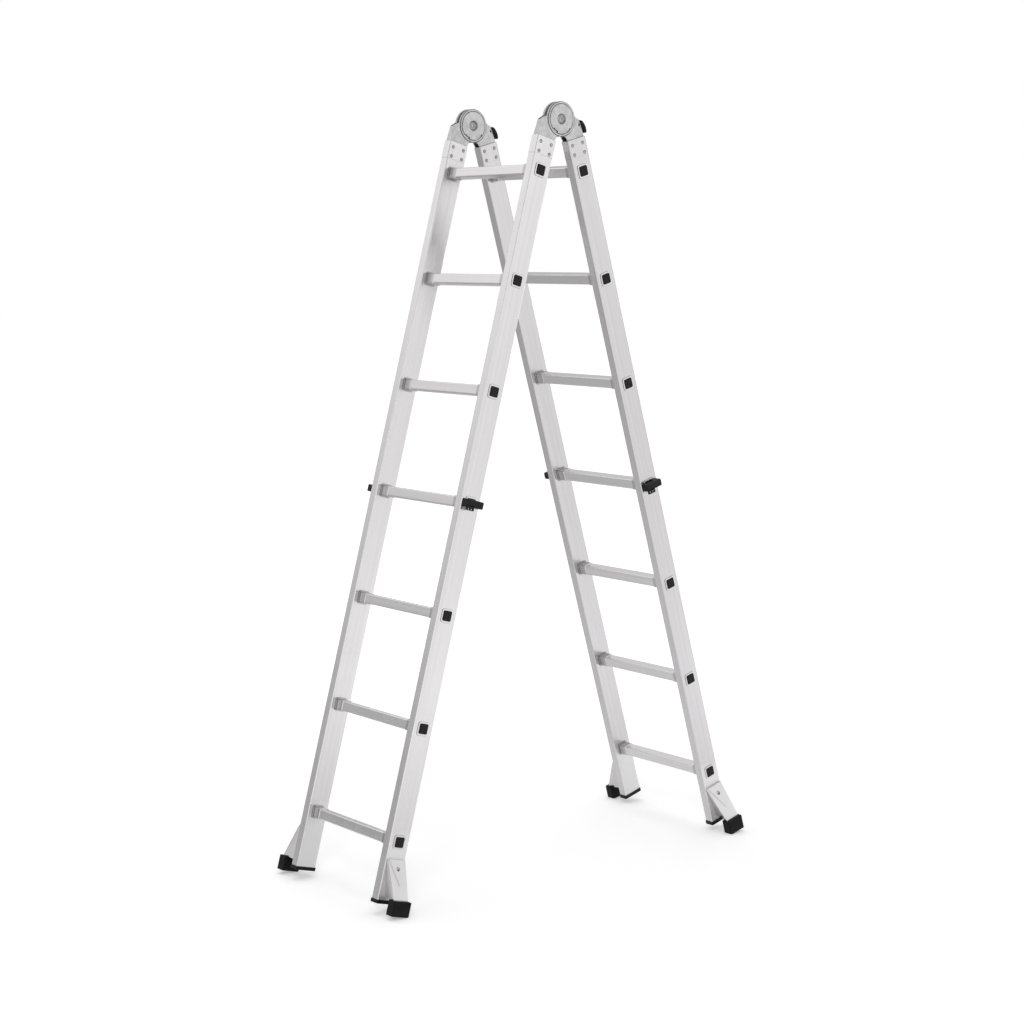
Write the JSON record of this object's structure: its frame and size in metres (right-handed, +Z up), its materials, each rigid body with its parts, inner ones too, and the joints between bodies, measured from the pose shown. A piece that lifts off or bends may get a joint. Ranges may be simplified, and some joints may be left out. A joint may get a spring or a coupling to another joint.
{
  "type": "trestle ladder",
  "caption": "Folding aluminium trestle ladder: two rung legs joined by locking steel hinges, with flared rubber-shod feet and sprung rung locks.",
  "frame": {"origin": "On the floor, midway between the four feet", "axes": "+X towards the rear leg, +Y along the rungs towards the left stiles, +Z up"},
  "size_m": [1.1904, 0.51, 1.9542],
  "materials": {
    "mill_aluminium": "satin",
    "zinc_steel": "satin",
    "black_plastic": "matte",
    "black_rubber": "matte"
  },
  "bodies": {
    "front_leg": {"front_left_stile": "mill_aluminium", "front_right_stile": "mill_aluminium", "front_rung_1": "mill_aluminium", "front_rung_2": "mill_aluminium", "front_rung_3": "mill_aluminium", "front_rung_4": "mill_aluminium", "front_rung_5": "mill_aluminium", "front_rung_6": "mill_aluminium", "front_rung_7": "mill_aluminium", "front_rung_plugs": "black_plastic", "front_stile_end_caps": "black_plastic", "front_left_foot_plate": "mill_aluminium", "front_right_foot_plate": "mill_aluminium", "front_left_shoe": "black_rubber", "front_right_shoe": "black_rubber", "front_foot_rivets": "zinc_steel", "front_hinge_rivets": "zinc_steel", "front_left_lock_housing": "black_plastic", "front_right_lock_housing": "black_plastic", "front_lock_springs": "zinc_steel", "left_hinge_front_half": "zinc_steel", "right_hinge_front_half": "zinc_steel", "left_hinge_covers": "zinc_steel", "right_hinge_covers": "zinc_steel", "left_hinge_pivot": "zinc_steel", "right_hinge_pivot": "zinc_steel", "left_lock_disc": "zinc_steel", "right_lock_disc": "zinc_steel"},
    "rear_leg": {"rear_left_stile": "mill_aluminium", "rear_right_stile": "mill_aluminium", "rear_rung_1": "mill_aluminium", "rear_rung_2": "mill_aluminium", "rear_rung_3": "mill_aluminium", "rear_rung_4": "mill_aluminium", "rear_rung_5": "mill_aluminium", "rear_rung_6": "mill_aluminium", "rear_rung_7": "mill_aluminium", "rear_rung_plugs": "black_plastic", "rear_stile_end_caps": "black_plastic", "rear_left_foot_plate": "mill_aluminium", "rear_right_foot_plate": "mill_aluminium", "rear_left_shoe": "black_rubber", "rear_right_shoe": "black_rubber", "rear_foot_rivets": "zinc_steel", "rear_hinge_rivets": "zinc_steel", "rear_left_lock_housing": "black_plastic", "rear_right_lock_housing": "black_plastic", "rear_lock_springs": "zinc_steel", "left_hinge_rear_half": "zinc_steel", "right_hinge_rear_half": "zinc_steel", "left_pawl_spring": "zinc_steel", "right_pawl_spring": "zinc_steel"},
    "left_lever": {"left_release_lever": "black_plastic"},
    "left_pawl_block": {"left_pawl": "zinc_steel"},
    "right_lever": {"right_release_lever": "black_plastic"},
    "right_pawl_block": {"right_pawl": "zinc_steel"},
    "front_left_bolt": {"front_left_lock_bolt": "black_plastic"},
    "front_right_bolt": {"front_right_lock_bolt": "black_plastic"},
    "rear_left_bolt": {"rear_left_lock_bolt": "black_plastic"},
    "rear_right_bolt": {"rear_right_lock_bolt": "black_plastic"}
  },
  "joints": [
    {"name": "fold", "type": "hinge", "parent": "front_leg", "child": "rear_leg", "pos_m": [0, 0, 1.9109], "axis": [0, -1, 0], "range_deg": [-31.4, 148.6]},
    {"name": "left_lever_pull", "type": "hinge", "parent": "rear_leg", "child": "left_lever", "pos_m": [0.0586, 0.1775, 1.89829], "axis": [0, -1, 0], "range_deg": [0, 8.61]},
    {"name": "right_lever_pull", "type": "hinge", "parent": "rear_leg", "child": "right_lever", "pos_m": [0.0586, -0.1775, 1.89829], "axis": [0, -1, 0], "range_deg": [0, 8.61]},
    {"name": "left_pawl_slide", "type": "slide", "parent": "rear_leg", "child": "left_pawl_block", "axis": [0.7157, 0, -0.6984], "range_m": [0, 0.0048], "stiffness_N_per_m": 100, "springref_m": -0.006, "deforming": ["left_pawl_spring"]},
    {"name": "right_pawl_slide", "type": "slide", "parent": "rear_leg", "child": "right_pawl_block", "axis": [0.7157, 0, -0.6984], "range_m": [0, 0.0048], "stiffness_N_per_m": 100, "springref_m": -0.006, "deforming": ["right_pawl_spring"]},
    {"name": "front_left_bolt_pull", "type": "slide", "parent": "front_leg", "child": "front_left_bolt", "axis": [0, 1, 0], "range_m": [0, 0.005], "stiffness_N_per_m": 300, "springref_m": -0.005, "deforming": ["front_lock_springs"]},
    {"name": "front_right_bolt_pull", "type": "slide", "parent": "front_leg", "child": "front_right_bolt", "axis": [0, -1, 0], "range_m": [0, 0.005], "stiffness_N_per_m": 300, "springref_m": -0.005, "deforming": ["front_lock_springs"]},
    {"name": "rear_left_bolt_pull", "type": "slide", "parent": "rear_leg", "child": "rear_left_bolt", "axis": [0, 1, 0], "range_m": [0, 0.005], "stiffness_N_per_m": 300, "springref_m": -0.005, "deforming": ["rear_lock_springs"]},
    {"name": "rear_right_bolt_pull", "type": "slide", "parent": "rear_leg", "child": "rear_right_bolt", "axis": [0, -1, 0], "range_m": [0, 0.005], "stiffness_N_per_m": 300, "springref_m": -0.005, "deforming": ["rear_lock_springs"]}
  ],
  "couplings": [
    {"joint": "left_lever_pull", "follows": "left_pawl_slide", "rad_per_m": 31.3},
    {"joint": "right_lever_pull", "follows": "right_pawl_slide", "rad_per_m": 31.3}
  ]
}
